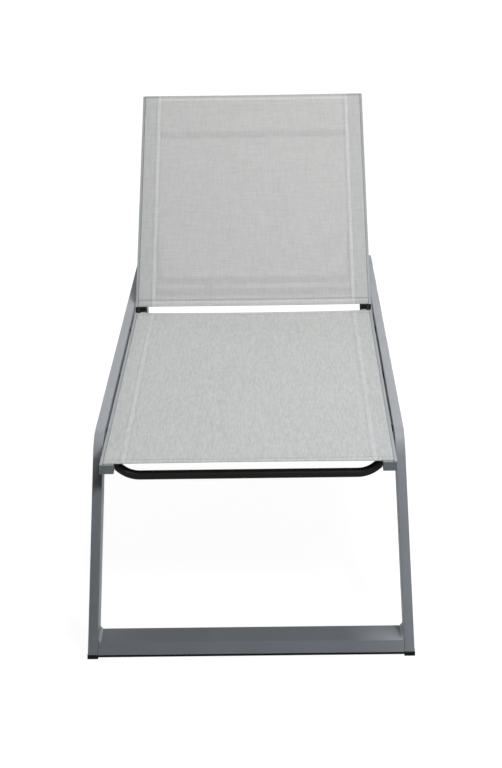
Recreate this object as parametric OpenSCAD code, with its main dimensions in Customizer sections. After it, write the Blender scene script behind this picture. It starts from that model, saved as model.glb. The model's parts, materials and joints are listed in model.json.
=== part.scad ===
// Sun lounger: flat-tube aluminium frame, mesh slings on keder rails, backrest on a stay and racks.
// Frame: +X right, +Y toward the head end, +Z up, origin on the floor under the middle. Millimetres.

/* [Side frames] */
// Width over the two side frames, at the rails
frame_w = 640; // [560:5:740]
// Length between the sharp outer corners of a side frame
corner_span = 1680; // [1560:10:1900]
// Height of the rail's top face above the floor
rail_top_z = 410; // [360:5:480]
// How far a leg's foot stands outside its corner, along the length
foot_reach = 198; // [140:2:240]
// How far a leg's foot stands outside the rail, across the width
foot_splay = 10.5; // [2:0.5:20]
// Width of the flat tube
tube_w = 20; // [16:1:26]
// Depth of the flat tube, in the plane of the frame
tube_d = 70; // [60:1:80]
// Wall of the flat tube
tube_wall = 2; // [1.5:0.1:3]
// Inside radius of the bends
bend_inner_r = 10; // [6:1:30]

/* [Floor bars and feet] */
// Height of a floor bar
bar_h = 22; // [18:1:34]
// Wall of a floor bar
bar_wall = 2; // [1.5:0.1:3]
// Width of the weld on a floor bar's top, against the leg
weld_w = 6; // [3:0.5:10]
// Height of a foot pad
foot_h = 8; // [6:1:16]
// How far a foot pad stands proud of its tube, all round
foot_proud = 0.8; // [0.5:0.1:3]
// Depth that a foot's plug reaches into its leg
foot_plug_h = 22; // [12:1:40]

/* [Sling rails] */
// Width of a sling rail's section
sling_rail_w = 28; // [26:0.5:34]
// Height of a sling rail's section
sling_rail_h = 20; // [18:0.5:26]
// Wall of a sling rail
sling_rail_wall = 1.6; // [1.2:0.1:2]
// Width of the outer lip beside the keder slot
lip_w = 6; // [5:0.5:8]
// Width of the keder slot
slot_w = 2.6; // [2.2:0.1:3.2]
// Bore that holds the keder
keder_bore_d = 7; // [6:0.5:8]
// How far the inner part of the rail lies below the lip
rail_step = 1.2; // [0.8:0.1:2]
// Gap between a sling rail and the side frame
rail_gap = 3; // [2:0.5:6]
// How far the seat rails' top lies below the side frames' top
seat_drop = 11; // [6:1:20]

/* [Seat] */
// Length of the seat's sling rails
seat_len = 1224; // [1100:4:1300]
// How far the seat stands out past the front corners
seat_overhang = 152; // [100:2:180]
// Front crossbar's place, from the front end of the rails
front_bar_inset = 42; // [30:1:80]
// Rear crossbar's place, from the rear end of the rails
rear_bar_inset = 14; // [12:1:16]
// Height by which a seat crossbar bows down
seat_bow = 23.5; // [18:0.5:34]

/* [Backrest] */
// Length of the backrest's sling rails
back_len = 732; // [640:4:780]
// Backrest angle above level, as photographed
rest_angle = 37; // [30:1:45]
// Steepest backrest angle
steep_angle = 60; // [56:1:62]
// Lower crossbar's place, from the hinge
lower_bar_u = 87; // [70:1:110]
// Upper crossbar's place, from the top end of the rails
upper_bar_inset = 115; // [80:1:160]
// Height by which a backrest crossbar bows back
back_bow = 16; // [15:0.5:24]

/* [Crossbars] */
// Diameter of the round crossbars
crossbar_d = 19; // [16:0.5:20]
// Wall of the round crossbars
crossbar_wall = 1.5; // [1:0.1:2]
// Radius of a crossbar's bends, to its centre line
bow_r = 60; // [45:1:60]
// Angle at which a crossbar rises to its rail
bow_angle = 40; // [36:1:42]

/* [Hinges] */
// Diameter of the hinge pins and stay pins
pin_d = 8; // [6:0.5:9]
// Distance from the seat rails' end to the hinge axis
hinge_ahead = 16; // [14:0.5:24]
// Distance from the hinge axis to the backrest rails' end
hinge_behind = 18; // [16:0.5:26]
// Thickness of a hinge lug's plate
lug_t = 7; // [5:0.5:8]
// Radius of the rounded end of a lug
lug_r = 9; // [8:0.5:10]
// Length that a tongue or lug reaches into its rail
insert_len = 60; // [30:2:90]

/* [Stay and racks] */
// Stay pivot's place along the backrest, from the hinge
pivot_u = 271; // [240:1:280]
// How far the stay pivot lies below the rails' centre line
pivot_drop = 20; // [18:0.5:26]
// Diameter of the stay's bar
stay_bar_d = 19; // [16:0.5:20]
// Diameter of the stay's legs
stay_leg_d = 16; // [12:0.5:18]
// Wall of the stay's tubes
stay_wall = 1.5; // [1:0.1:2]
// Slope of the racks, down toward the head end
rack_slope = 2.5; // [2.4:0.1:3]
// Distance from notch to notch
notch_pitch = 39.5; // [34:0.5:44]
// Depth of a notch
notch_depth = 3.5; // [2:0.1:4]
// Thickness of a rack
rack_t = 10; // [8:0.5:14]

/* [Slings] */
// Thickness of the mesh
sheet_t = 1; // [0.6:0.1:1.4]
// Width of the hem at a sling's free ends
hem_w = 20; // [12:1:30]
// How far the seat sling's free ends stay back from the ends of its rails
sling_inset = 4; // [2:0.5:10]

/* [Hidden] */
$fn = 48;

overrun = 2;             // how far a cutter runs past what it cuts
pin_play = 0.05;         // radial play of a pin in its bore
slide_play = 0.3;        // play of an insert in its tube
touch_gap = 0.3;         // gap between soft or bent surfaces that lie on each other

frame_paint = "#9aa0a3";
dark_metal = "#4a4b4a";
black_plastic = "#1c1c1e";
grey_plastic = "#74797b";
mesh_grey = "#c6c6c6";
bright_metal = "#b4b8bb";

// Side frame
bend_outer_r = bend_inner_r + tube_d;
leg_drop = rail_top_z - foot_h;
leg_slant = atan(foot_reach / leg_drop);
bend_turn = 90 - leg_slant;
bend_y = corner_span / 2 - bend_outer_r * tan(bend_turn / 2);
bend_z = rail_top_z - bend_outer_r;
bend_steps = 32;
tube_mid_x = (frame_w - tube_w) / 2;
tube_inner_x = frame_w / 2 - tube_w;
lean_share = foot_splay / leg_drop;
rail_lean = tube_d * lean_share;
foot_y = corner_span / 2 + foot_reach;
leg_section = tube_d / cos(leg_slant);
bar_y = foot_y - leg_section;

// Sling rails, with x measured inward from a rail's outer face and z from its lip
rail_outer_x = tube_inner_x - rail_gap;
rail_inner_x = rail_outer_x - sling_rail_w;
slot_mid = lip_w + slot_w / 2;
keder_z = sling_rail_wall + keder_bore_d / 2;
chamber_right = slot_mid + keder_bore_d / 2 + sling_rail_wall;
chamber_w = sling_rail_w - sling_rail_wall - chamber_right;
chamber_h = sling_rail_h - rail_step - 2 * sling_rail_wall;
keder_d = keder_bore_d - 2 * sheet_t - 2 * touch_gap;

// Seat
seat_top_z = rail_top_z - seat_drop;
seat_front_y = -corner_span / 2 - seat_overhang;
seat_rear_y = seat_front_y + seat_len;
bar_end_drop = rail_step + crossbar_d / 2 / cos(bow_angle);
cap_t = 4;
cap_draft = 1;
cap_plug = 12;
bolt_places_share = [0.06, 0.46, 0.86];
bolt_rise = 7;
bolt_z = seat_top_z - sling_rail_h + bolt_rise;
bolt_d = 6;
bolt_head_d = 11;
bolt_head_t = 3;
bolt_grip = tube_wall + rail_lean + slide_play;
spacer_d = 16;

// Backrest hinge
hinge_y = seat_rear_y + hinge_ahead;
hinge_z = seat_top_z - sling_rail_h / 2;
tongue_w = chamber_w - 2 * slide_play;
tongue_h = chamber_h - 2 * slide_play;
tongue_inner_x = rail_inner_x + sling_rail_wall + slide_play;
tongue_outer_x = tongue_inner_x + tongue_w;
tongue_shift = rail_step / 2;
washer_t = 0.8;
washer_d = 15;
lug_inner_x = tongue_outer_x + washer_t + 2 * touch_gap;
lug_outer_x = lug_inner_x + lug_t;
pin_head_d = 13;
pin_head_t = 2.2;
pin_nut_t = 2.2;
end_plate_t = 4;
back_top_u = hinge_behind + back_len;

// Stay: as long as its pivot is from the hinge, so its bar runs on a straight line through the hinge
pivot_r = sqrt(pivot_u * pivot_u + pivot_drop * pivot_drop);
pivot_angle = atan(pivot_drop / pivot_u);
function bar_run(back_angle) = 2 * pivot_r * cos(back_angle - pivot_angle + rack_slope);
rest_run = bar_run(rest_angle);
flat_run = bar_run(0);
steep_run = bar_run(steep_angle);
stay_rest_slope = rest_angle - pivot_angle + 2 * rack_slope;
bracket_t = 6;
bracket_inner_x = rail_inner_x - bracket_t;
bracket_w = 30;
bracket_edge_r = 10;
eye_rim = 0.5;
eye_w = stay_leg_d + 2 * eye_rim;
eye_d = 18;
eye_outer_x = bracket_inner_x - washer_t - 2 * touch_gap;
eye_mid_x = eye_outer_x - eye_w / 2;
stay_plug_flange = 2;
stay_plug_len = 12;
stay_bar_half = rail_outer_x - stay_plug_flange;
rack_top_drop = stay_bar_d / 2 + touch_gap;
rack_bottom_z = rail_top_z - tube_d + tube_wall;
rack_front_margin = 16;
rack_rear_margin = 22;
rack_front_run = steep_run - rack_front_margin;
rack_rear_run = flat_run + rack_rear_margin;
front_notches = floor((rest_run - steep_run) / notch_pitch + 0.5);
rear_notches = floor((flat_run - rest_run - notch_pitch / 2) / notch_pitch);
notch_ramp = 24;
screw_d = 4;
screw_head_d = 8;
screw_head_t = 2;
screw_grip = tube_wall + rail_lean;
rack_screw_shares = [0.16, 0.46, 0.8];

// Slings
sheet_half = rail_outer_x - slot_mid + sheet_t / 2;
sheet_fall = keder_z - keder_d / 2 - touch_gap;
hem_half = rail_inner_x - sling_inset;
back_inset = 1;

// Puts a part at its place on one side: side is 1 on the right and -1 on the left
module on_side(side) {
    if (side > 0) children();
    else mirror([1, 0, 0]) children();
}

// Takes the backrest's own frame, with y along it from the hinge axis, to its rest angle
module on_back() {
    translate([0, hinge_y, hinge_z]) rotate([rest_angle, 0, 0]) children();
}

// Stands a y-z outline up and gives it a thickness along x, from x = 0
module side_plate(thick) {
    rotate([90, 0, 90]) linear_extrude(thick) children();
}

// Points on a bend's arc of radius r, in y-z
function bend_arc(r, from_angle, to_angle) = [
    for (i = [0 : bend_steps]) let (a = from_angle + (to_angle - from_angle) * i / bend_steps)
        [bend_y + r * cos(a), bend_z + r * sin(a)]
];

// Point well below the foot on the leg's edge that leaves the bend at radius r
function leg_end(r) = [
    bend_y + r * cos(leg_slant) + rail_top_z * sin(leg_slant),
    bend_z + r * sin(leg_slant) - rail_top_z * cos(leg_slant)
];

// Flat tube bent to rail and legs, drawn in y-z, drawn in by inset on every edge
module tube_outline(inset) {
    head_half = concat(
        bend_arc(bend_outer_r - inset, 90, leg_slant),
        [leg_end(bend_outer_r - inset), leg_end(bend_inner_r + inset)],
        bend_arc(bend_inner_r + inset, leg_slant, 90)
    );
    foot_half = [for (i = [len(head_half) - 1 : -1 : 0]) [-head_half[i][0], head_half[i][1]]];
    polygon(concat(head_half, foot_half));
}

// A side frame is flat and leans out toward the floor: how far it stands out at height z
function splay_at(z) = (rail_top_z - z) * lean_share;

// The same tube seen from the end, drawn in x-z on the right side
module splay_outline(inset, low_z) {
    inner_x = tube_inner_x + inset;
    outer_x = frame_w / 2 - inset;
    polygon([
        [inner_x, rail_top_z], [inner_x + splay_at(low_z), low_z],
        [outer_x + splay_at(low_z), low_z], [outer_x, rail_top_z]
    ]);
}

module tube_body(inset, low_z) {
    intersection() {
        side_plate(frame_w) tube_outline(inset);
        translate([0, foot_y, 0]) rotate([90, 0, 0]) linear_extrude(2 * foot_y) splay_outline(inset, low_z);
    }
}

module side_frame(side) {
    bore_len = tube_wall + rail_lean + 2 * overrun;
    color(frame_paint) on_side(side) difference() {
        tube_body(0, foot_h);
        tube_body(tube_wall, foot_h - overrun);
        bolt_line(bolt_d + 2 * slide_play, tube_inner_x - overrun, bore_len);
        rack_screw_line(screw_d + 2 * slide_play, tube_inner_x - overrun, bore_len);
    }
}

// Rods along x at the seat bolts' places, on the right side, from the front bend to the rails' rear end
module bolt_line(rod_d, from_x, rod_len) {
    for (share = bolt_places_share)
        translate([from_x, share * (seat_rear_y + bend_y) - bend_y, bolt_z])
            rotate([0, 90, 0]) cylinder(h = rod_len, d = rod_d);
}

// A floor bar's section in y-z from foot_h up to foot_h + height, drawn in by inset: its two edges slant
// with the legs and are flush with them
module bar_section(inset, height) {
    slant = tan(leg_slant);
    outer_y = foot_y - inset / cos(leg_slant);
    inner_y = bar_y + inset / cos(leg_slant);
    polygon([
        [inner_y - inset * slant, foot_h + inset],
        [outer_y - inset * slant, foot_h + inset],
        [outer_y - (height - inset) * slant, foot_h + height - inset],
        [inner_y - (height - inset) * slant, foot_h + height - inset]
    ]);
}

// A floor bar seen from the end, in x-z: cut to the legs' lean, with a weld on its top against each leg
module bar_outline() {
    top_z = foot_h + bar_h;
    weld_z = top_z + weld_w;
    right_half = [
        [tube_inner_x + splay_at(foot_h), foot_h],
        [tube_inner_x + splay_at(weld_z), weld_z],
        [tube_inner_x + splay_at(top_z) - weld_w, top_z]
    ];
    left_half = [for (i = [len(right_half) - 1 : -1 : 0]) [-right_half[i][0], right_half[i][1]]];
    polygon(concat(right_half, left_half));
}

module floor_bar(end) {
    color(frame_paint) mirror([0, end > 0 ? 0 : 1, 0]) difference() {
        intersection() {
            translate([-frame_w, 0, 0]) side_plate(2 * frame_w) bar_section(0, bar_h + weld_w);
            translate([0, foot_y, 0]) rotate([90, 0, 0]) linear_extrude(foot_y) bar_outline();
        }
        translate([-frame_w, 0, 0]) side_plate(2 * frame_w) bar_section(bar_wall, bar_h);
    }
}

module foot(side, end) {
    pad_w = tube_w + 2 * foot_proud;
    plug_inset = tube_wall + slide_play;
    color(black_plastic) on_side(side) mirror([0, end > 0 ? 0 : 1, 0]) {
        translate([tube_mid_x + splay_at(foot_h) - pad_w / 2, bar_y - foot_proud, 0])
            cube([pad_w, leg_section + 2 * foot_proud, foot_h]);
        intersection() {
            tube_body(plug_inset, foot_h - overrun);
            translate([0, 0, foot_h - overrun / 2]) cube([frame_w, foot_y, foot_plug_h + overrun / 2]);
        }
    }
}

// Section of a sling rail on the right side, with its outer face on x = 0 and its lip on y = 0
module rail_section() {
    difference() {
        polygon([
            [0, 0], [-lip_w, 0], [-lip_w, -rail_step], [-sling_rail_w, -rail_step],
            [-sling_rail_w, -sling_rail_h], [0, -sling_rail_h]
        ]);
        translate([-lip_w - slot_w, -keder_z]) square([slot_w, keder_z + overrun]);
        translate([-slot_mid, -keder_z]) circle(d = keder_bore_d);
        translate([-chamber_right - chamber_w, sling_rail_wall - sling_rail_h])
            square([chamber_w, chamber_h]);
        translate([sling_rail_wall - chamber_right, sling_rail_wall - sling_rail_h])
            square([
                chamber_right - 2 * sling_rail_wall,
                sling_rail_h - keder_z - keder_bore_d / 2 - 2 * sling_rail_wall
            ]);
    }
}

// Sling rail on the right side along +y, with its lip at z = 0
module sling_rail(length) {
    translate([rail_outer_x, length, 0]) rotate([90, 0, 0]) linear_extrude(length) rail_section();
}

module seat_rail(side) {
    color(bright_metal) on_side(side) difference() {
        translate([0, seat_front_y, seat_top_z]) sling_rail(seat_len);
        bolt_line(bolt_d + 2 * slide_play, rail_inner_x - overrun, sling_rail_w + 2 * overrun);
    }
}

// Rod that runs level in the middle and bends up to a rail at each end, with z = 0 at its flat run
module bowed_rod(rod_d, rise) {
    slope_len = (rise - bow_r * (1 - cos(bow_angle))) / sin(bow_angle);
    flat_half = rail_inner_x - slope_len * cos(bow_angle) - bow_r * sin(bow_angle);
    translate([-flat_half, 0, 0]) rotate([0, 90, 0]) cylinder(h = 2 * flat_half, d = rod_d);
    for (turn = [0, 1]) mirror([turn, 0, 0]) translate([flat_half, 0, bow_r]) rotate([90, 0, 0]) {
        rotate([0, 0, -90]) rotate_extrude(angle = bow_angle) translate([bow_r, 0]) circle(d = rod_d);
        rotate([0, 0, bow_angle - 90]) translate([bow_r, 0, 0]) rotate([-90, 0, 0])
            cylinder(h = slope_len + rod_d, d = rod_d);
    }
}

module bowed_tube(rise) {
    intersection() {
        difference() {
            bowed_rod(crossbar_d, rise);
            bowed_rod(crossbar_d - 2 * crossbar_wall, rise);
        }
        translate([-rail_inner_x, -crossbar_d, -crossbar_d])
            cube([2 * rail_inner_x, 2 * crossbar_d, rise + 3 * crossbar_d]);
    }
}

module seat_crossbar(bar_place_y) {
    color(dark_metal) translate([0, bar_place_y, seat_top_z - bar_end_drop - seat_bow]) bowed_tube(seat_bow);
}

// Cap for a rail's open end, on the right side, with the rail along +y: a drafted face, stepped like the
// rail so that a sling can run out over it, and a plug
module rail_cap() {
    color(grey_plastic) translate([rail_outer_x, 0, 0]) {
        difference() {
            hull() {
                translate([-sling_rail_w, -cap_t / 2, -sling_rail_h])
                    cube([sling_rail_w, cap_t / 2, sling_rail_h]);
                translate([cap_draft - sling_rail_w, -cap_t, cap_draft - sling_rail_h])
                    cube([sling_rail_w - 2 * cap_draft, cap_t / 2, sling_rail_h - 2 * cap_draft]);
            }
            translate([-lip_w - sling_rail_w, -cap_t - overrun, -rail_step])
                cube([sling_rail_w, cap_t + 2 * overrun, rail_step + overrun]);
        }
        translate([
            -chamber_right - chamber_w + slide_play, -overrun / 2,
            sling_rail_wall - sling_rail_h + slide_play
        ])
            cube([chamber_w - 2 * slide_play, cap_plug + overrun / 2, chamber_h - 2 * slide_play]);
    }
}

module seat_front_cap(side) {
    on_side(side) translate([0, seat_front_y, seat_top_z]) rail_cap();
}

// Round keder in a rail's bore, on the right side
module keder(length) {
    color(mesh_grey) translate([rail_outer_x - slot_mid, 0, -keder_z]) rotate([-90, 0, 0])
        cylinder(h = length, d = keder_d, $fn = 24);
}

// Mesh stretched from rail to rail: its edges go down the slots over slot_len, each end has a doubled hem,
// and the rear end may run out past the slots
module sling(slot_len, run_out) {
    sheet_z = touch_gap - rail_step;
    length = slot_len + run_out;
    color(mesh_grey) {
        translate([-sheet_half, 0, sheet_z]) cube([2 * sheet_half, length, sheet_t]);
        for (turn = [0, 1]) mirror([turn, 0, 0]) translate([sheet_half - sheet_t, 0, -sheet_fall])
            cube([sheet_t, slot_len, sheet_fall + sheet_z + sheet_t]);
        for (hem_y = [0, length - hem_w]) translate([-hem_half, hem_y, sheet_z - sheet_t])
            cube([2 * hem_half, hem_w, 2 * sheet_t]);
    }
}

module seat_sling() {
    translate([0, seat_front_y + sling_inset, seat_top_z]) sling(seat_len - 2 * sling_inset, 0);
}

// The backrest's sling covers its rails and runs out over the top caps
module backrest_sling() {
    on_back() translate([0, hinge_behind + back_inset, sling_rail_h / 2])
        sling(back_len - 2 * back_inset, back_inset + cap_t);
}

module seat_keder(side) {
    on_side(side) translate([0, seat_front_y + sling_inset, seat_top_z]) keder(seat_len - 2 * sling_inset);
}

module backrest_keder(side) {
    on_side(side) on_back() translate([0, hinge_behind + sling_inset, sling_rail_h / 2])
        keder(back_len - 2 * sling_inset);
}

// Discs between the seat rails and the leaning side frames, one round each bolt
module seat_rail_spacers() {
    color(black_plastic) for (side = [-1, 1]) on_side(side) difference() {
        bolt_line(spacer_d, rail_outer_x, rail_gap + rail_lean);
        bolt_line(bolt_d + 2 * slide_play, rail_outer_x - overrun, rail_gap + rail_lean + 2 * overrun);
        tube_body(0, foot_h);
    }
}

module seat_rail_bolts() {
    color(bright_metal) for (side = [-1, 1]) on_side(side) {
        bolt_line(bolt_head_d, rail_inner_x - bolt_head_t, bolt_head_t);
        bolt_line(bolt_d, rail_inner_x - bolt_head_t / 2,
            bolt_head_t / 2 + sling_rail_w + rail_gap + bolt_grip);
    }
}

// Bar in the rear end of a seat rail, rounded about the hinge axis
module hinge_tongue(side) {
    round_r = tongue_h / 2;
    color(bright_metal) on_side(side) translate([tongue_inner_x, hinge_y, hinge_z]) difference() {
        side_plate(tongue_w) {
            circle(round_r);
            translate([-hinge_ahead - insert_len, -round_r - tongue_shift])
                square([insert_len, tongue_h]);
            polygon([
                [0, round_r], [-hinge_ahead, round_r - tongue_shift],
                [-hinge_ahead, -round_r - tongue_shift], [0, -round_r]
            ]);
        }
        translate([-overrun, 0, 0]) rotate([0, 90, 0])
            cylinder(h = tongue_w + 2 * overrun, r = pin_d / 2 + pin_play);
    }
}

// Shouldered pin: head inboard, a round nut outboard
module hinge_pin(side) {
    head_x = tongue_inner_x - touch_gap;
    nut_x = lug_outer_x + touch_gap;
    color(dark_metal) on_side(side) translate([0, hinge_y, hinge_z]) rotate([0, 90, 0]) {
        translate([0, 0, head_x - pin_head_t]) cylinder(h = pin_head_t, d = pin_head_d);
        translate([0, 0, head_x - pin_head_t / 2])
            cylinder(h = nut_x + pin_nut_t - head_x + pin_head_t / 2, d = pin_d);
        translate([0, 0, nut_x]) cylinder(h = pin_nut_t, d = pin_head_d);
    }
}

// Ring round a pin along x, from x = 0
module washer() {
    rotate([0, 90, 0]) difference() {
        cylinder(h = washer_t, d = washer_d);
        translate([0, 0, -overrun]) cylinder(h = washer_t + 2 * overrun, r = pin_d / 2 + slide_play);
    }
}

module hinge_washers() {
    color(black_plastic) for (side = [-1, 1]) on_side(side)
        translate([tongue_outer_x + touch_gap, hinge_y, hinge_z]) washer();
}

// End fitting of a backrest rail: plate over its end, plug in its chamber and lug on the hinge pin
module hinge_lug(side) {
    color(bright_metal) on_side(side) on_back() difference() {
        union() {
            translate([rail_inner_x, hinge_behind - end_plate_t, -sling_rail_h / 2])
                cube([sling_rail_w, end_plate_t, sling_rail_h]);
            translate([
                tongue_inner_x, hinge_behind - end_plate_t / 2,
                sling_rail_wall + slide_play - sling_rail_h / 2
            ])
                cube([tongue_w, insert_len + end_plate_t / 2, tongue_h]);
            translate([lug_inner_x, 0, 0]) side_plate(lug_t) {
                circle(lug_r);
                translate([0, -lug_r]) square([hinge_behind - end_plate_t / 2, 2 * lug_r]);
            }
        }
        translate([lug_inner_x - overrun, 0, 0]) rotate([0, 90, 0])
            cylinder(h = lug_t + 2 * overrun, r = pin_d / 2 + pin_play);
    }
}

// Puts what is drawn on the racks' line: y is the distance from the hinge axis down the slope
module on_rack_line() {
    translate([0, hinge_y, hinge_z]) rotate([-rack_slope, 0, 0]) children();
}

// One notch in y-z: steep behind, where the bar pushes, and a ramp in front, where it is drawn over
module notch() {
    seat_r = stay_bar_d / 2 + touch_gap;
    half_w = sqrt(seat_r * seat_r - (seat_r - notch_depth) * (seat_r - notch_depth));
    translate([0, seat_r - notch_depth]) circle(seat_r);
    polygon([[0, -notch_depth], [-notch_ramp, 0], [-notch_ramp, overrun], [half_w, overrun], [0, overrun]]);
}

// Rack on a side frame's inner face, cut to the frame's lean
module ratchet_rack(side) {
    rack_inner_x = tube_inner_x - rack_t;
    reach = rack_t + rail_lean;
    color(black_plastic) on_side(side) difference() {
        intersection() {
            on_rack_line() translate([rack_inner_x, rack_front_run, -tube_d - rack_top_drop])
                cube([reach, rack_rear_run - rack_front_run, tube_d]);
            translate([0, 0, rack_bottom_z]) cube([frame_w, foot_y, rail_top_z - rack_bottom_z]);
        }
        on_rack_line() translate([rack_inner_x - overrun, 0, -rack_top_drop])
            side_plate(reach + 2 * overrun)
                for (i = [-front_notches : rear_notches]) translate([rest_run + i * notch_pitch, 0]) notch();
        rack_screw_line(screw_d + 2 * slide_play, rack_inner_x - overrun, reach + 2 * overrun);
        rack_screw_line(screw_head_d + 2 * slide_play, rack_inner_x - overrun, screw_head_t + overrun);
        tube_body(0, foot_h);
    }
}

// Rods along x at the rack screws' places, on the right side
module rack_screw_line(rod_d, from_x, rod_len) {
    for (share = rack_screw_shares) {
        run = rack_front_run + share * (rack_rear_run - rack_front_run);
        top_z = hinge_z - run * sin(rack_slope) - rack_top_drop - notch_depth;
        translate([from_x, hinge_y + run * cos(rack_slope), (top_z + rack_bottom_z) / 2])
            rotate([0, 90, 0]) cylinder(h = rod_len, d = rod_d, $fn = 24);
    }
}

module rack_screws() {
    head_x = tube_inner_x - rack_t;
    color(bright_metal) for (side = [-1, 1]) on_side(side) {
        rack_screw_line(screw_head_d, head_x, screw_head_t);
        rack_screw_line(screw_d, head_x + screw_head_t / 2, rack_t - screw_head_t / 2 + screw_grip);
    }
}

module backrest_rail(side) {
    color(bright_metal) on_side(side) on_back() translate([0, hinge_behind, sling_rail_h / 2])
        sling_rail(back_len);
}

module backrest_crossbar(bar_u) {
    color(dark_metal) on_back() translate([0, bar_u, sling_rail_h / 2 - bar_end_drop - back_bow])
        bowed_tube(back_bow);
}

module backrest_top_cap(side) {
    on_side(side) on_back() translate([0, back_top_u, sling_rail_h / 2]) mirror([0, 1, 0]) rail_cap();
}

// Plate under a backrest rail, on its inner face, that carries the stay's pin
module stay_bracket(side) {
    foot_half = bracket_w / 2;
    color(dark_metal) on_side(side) on_back() translate([bracket_inner_x, pivot_u, 0]) difference() {
        side_plate(bracket_t) hull() {
            translate([0, -pivot_drop]) circle(bracket_edge_r);
            translate([-foot_half, -sling_rail_h / 4])
                square([bracket_w, sling_rail_h / 2]);
        }
        translate([-overrun, 0, -pivot_drop]) rotate([0, 90, 0])
            cylinder(h = bracket_t + 2 * overrun, r = pin_d / 2 + pin_play);
    }
}

module stay_pivot_pins() {
    head_x = bracket_inner_x + bracket_t + touch_gap;
    nut_x = eye_outer_x - eye_w - touch_gap;
    color(bright_metal) for (side = [-1, 1]) on_side(side) on_back()
        translate([0, pivot_u, -pivot_drop]) rotate([0, 90, 0]) {
            translate([0, 0, nut_x - pin_nut_t]) cylinder(h = pin_nut_t, d = pin_head_d);
            translate([0, 0, nut_x - pin_nut_t / 2]) cylinder(h = head_x - nut_x + pin_nut_t, d = pin_d);
            translate([0, 0, head_x]) cylinder(h = pin_head_t, d = pin_head_d);
        }
}

module stay_pivot_washers() {
    color(black_plastic) for (side = [-1, 1]) on_side(side) on_back()
        translate([eye_outer_x + touch_gap, pivot_u, -pivot_drop]) washer();
}

// Takes the stay's own frame, with y from its pivot to its bar, to its place at rest
module on_stay() {
    on_back() translate([0, pivot_u, -pivot_drop]) rotate([-rest_angle - stay_rest_slope, 0, 0]) children();
}

module stay_bar_rod(half_len, rod_r) {
    translate([-half_len, pivot_r, 0]) rotate([0, 90, 0]) cylinder(h = 2 * half_len, r = rod_r);
}

// Rods along the stay's legs, from from_y to the bar's centre line
module stay_leg_rods(from_y, rod_r) {
    for (side = [-1, 1]) translate([side * eye_mid_x, from_y, 0]) rotate([-90, 0, 0])
        cylinder(h = pivot_r - from_y, r = rod_r);
}

module stay_eye_rods(rod_r, extra) {
    for (side = [-1, 1]) translate([side * eye_mid_x - eye_w / 2 - extra, 0, 0]) rotate([0, 90, 0])
        cylinder(h = eye_w + 2 * extra, r = rod_r);
}

module support_stay() {
    color(dark_metal) on_stay() difference() {
        union() {
            stay_bar_rod(stay_bar_half, stay_bar_d / 2);
            stay_leg_rods(0, stay_leg_d / 2);
            stay_eye_rods(eye_d / 2, 0);
        }
        stay_bar_rod(stay_bar_half + overrun, stay_bar_d / 2 - stay_wall);
        stay_leg_rods(eye_d / 2, stay_leg_d / 2 - stay_wall);
        stay_eye_rods(pin_d / 2 + pin_play, overrun);
    }
}

module stay_end_plugs() {
    color(black_plastic) on_stay() for (side = [-1, 1]) on_side(side)
        translate([stay_bar_half, pivot_r, 0]) rotate([0, 90, 0]) {
            cylinder(h = stay_plug_flange, d = stay_bar_d);
            translate([0, 0, -stay_plug_len]) cylinder(
                h = stay_plug_len + stay_plug_flange / 2,
                r = stay_bar_d / 2 - stay_wall - slide_play / 2
            );
        }
}

side_frame(-1);  // left_side_frame
side_frame(1);  // right_side_frame
floor_bar(-1);  // front_floor_bar
floor_bar(1);  // rear_floor_bar
foot(-1, -1);  // front_left_foot
foot(1, -1);  // front_right_foot
foot(-1, 1);  // rear_left_foot
foot(1, 1);  // rear_right_foot
seat_rail(-1);  // seat_left_rail
seat_rail(1);  // seat_right_rail
seat_crossbar(seat_front_y + front_bar_inset);  // seat_front_crossbar
seat_crossbar(seat_rear_y - rear_bar_inset);  // seat_rear_crossbar
seat_front_cap(-1);  // seat_left_front_cap
seat_front_cap(1);  // seat_right_front_cap
seat_sling();
seat_keder(-1);  // seat_left_keder
seat_keder(1);  // seat_right_keder
seat_rail_spacers();
seat_rail_bolts();
hinge_tongue(-1);  // left_hinge_tongue
hinge_tongue(1);  // right_hinge_tongue
hinge_pin(-1);  // left_hinge_pin
hinge_pin(1);  // right_hinge_pin
hinge_washers();
ratchet_rack(-1);  // left_ratchet_rack
ratchet_rack(1);  // right_ratchet_rack
rack_screws();
backrest_rail(-1);  // backrest_left_rail
backrest_rail(1);  // backrest_right_rail
backrest_crossbar(lower_bar_u);  // backrest_lower_crossbar
backrest_crossbar(back_top_u - upper_bar_inset);  // backrest_upper_crossbar
backrest_top_cap(-1);  // backrest_left_top_cap
backrest_top_cap(1);  // backrest_right_top_cap
hinge_lug(-1);  // left_hinge_lug
hinge_lug(1);  // right_hinge_lug
backrest_sling();
backrest_keder(-1);  // backrest_left_keder
backrest_keder(1);  // backrest_right_keder
stay_bracket(-1);  // left_stay_bracket
stay_bracket(1);  // right_stay_bracket
stay_pivot_pins();
stay_pivot_washers();
support_stay();
stay_end_plugs();
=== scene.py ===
"""Sun lounger: the finishes and fabric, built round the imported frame.

Metres. +X is to the right seen from the foot end, +Y runs toward the head end and +Z is up, from the floor.
"""
import json
import math

import bpy
from mathutils import Matrix, Vector


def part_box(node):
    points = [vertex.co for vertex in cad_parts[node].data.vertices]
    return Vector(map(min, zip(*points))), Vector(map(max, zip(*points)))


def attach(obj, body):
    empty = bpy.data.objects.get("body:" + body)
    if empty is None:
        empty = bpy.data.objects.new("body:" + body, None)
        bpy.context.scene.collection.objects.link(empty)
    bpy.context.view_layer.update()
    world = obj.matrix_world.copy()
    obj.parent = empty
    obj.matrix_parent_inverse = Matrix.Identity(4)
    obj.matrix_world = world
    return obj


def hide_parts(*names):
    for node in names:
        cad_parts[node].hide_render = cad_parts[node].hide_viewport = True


MM = 0.001

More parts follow.
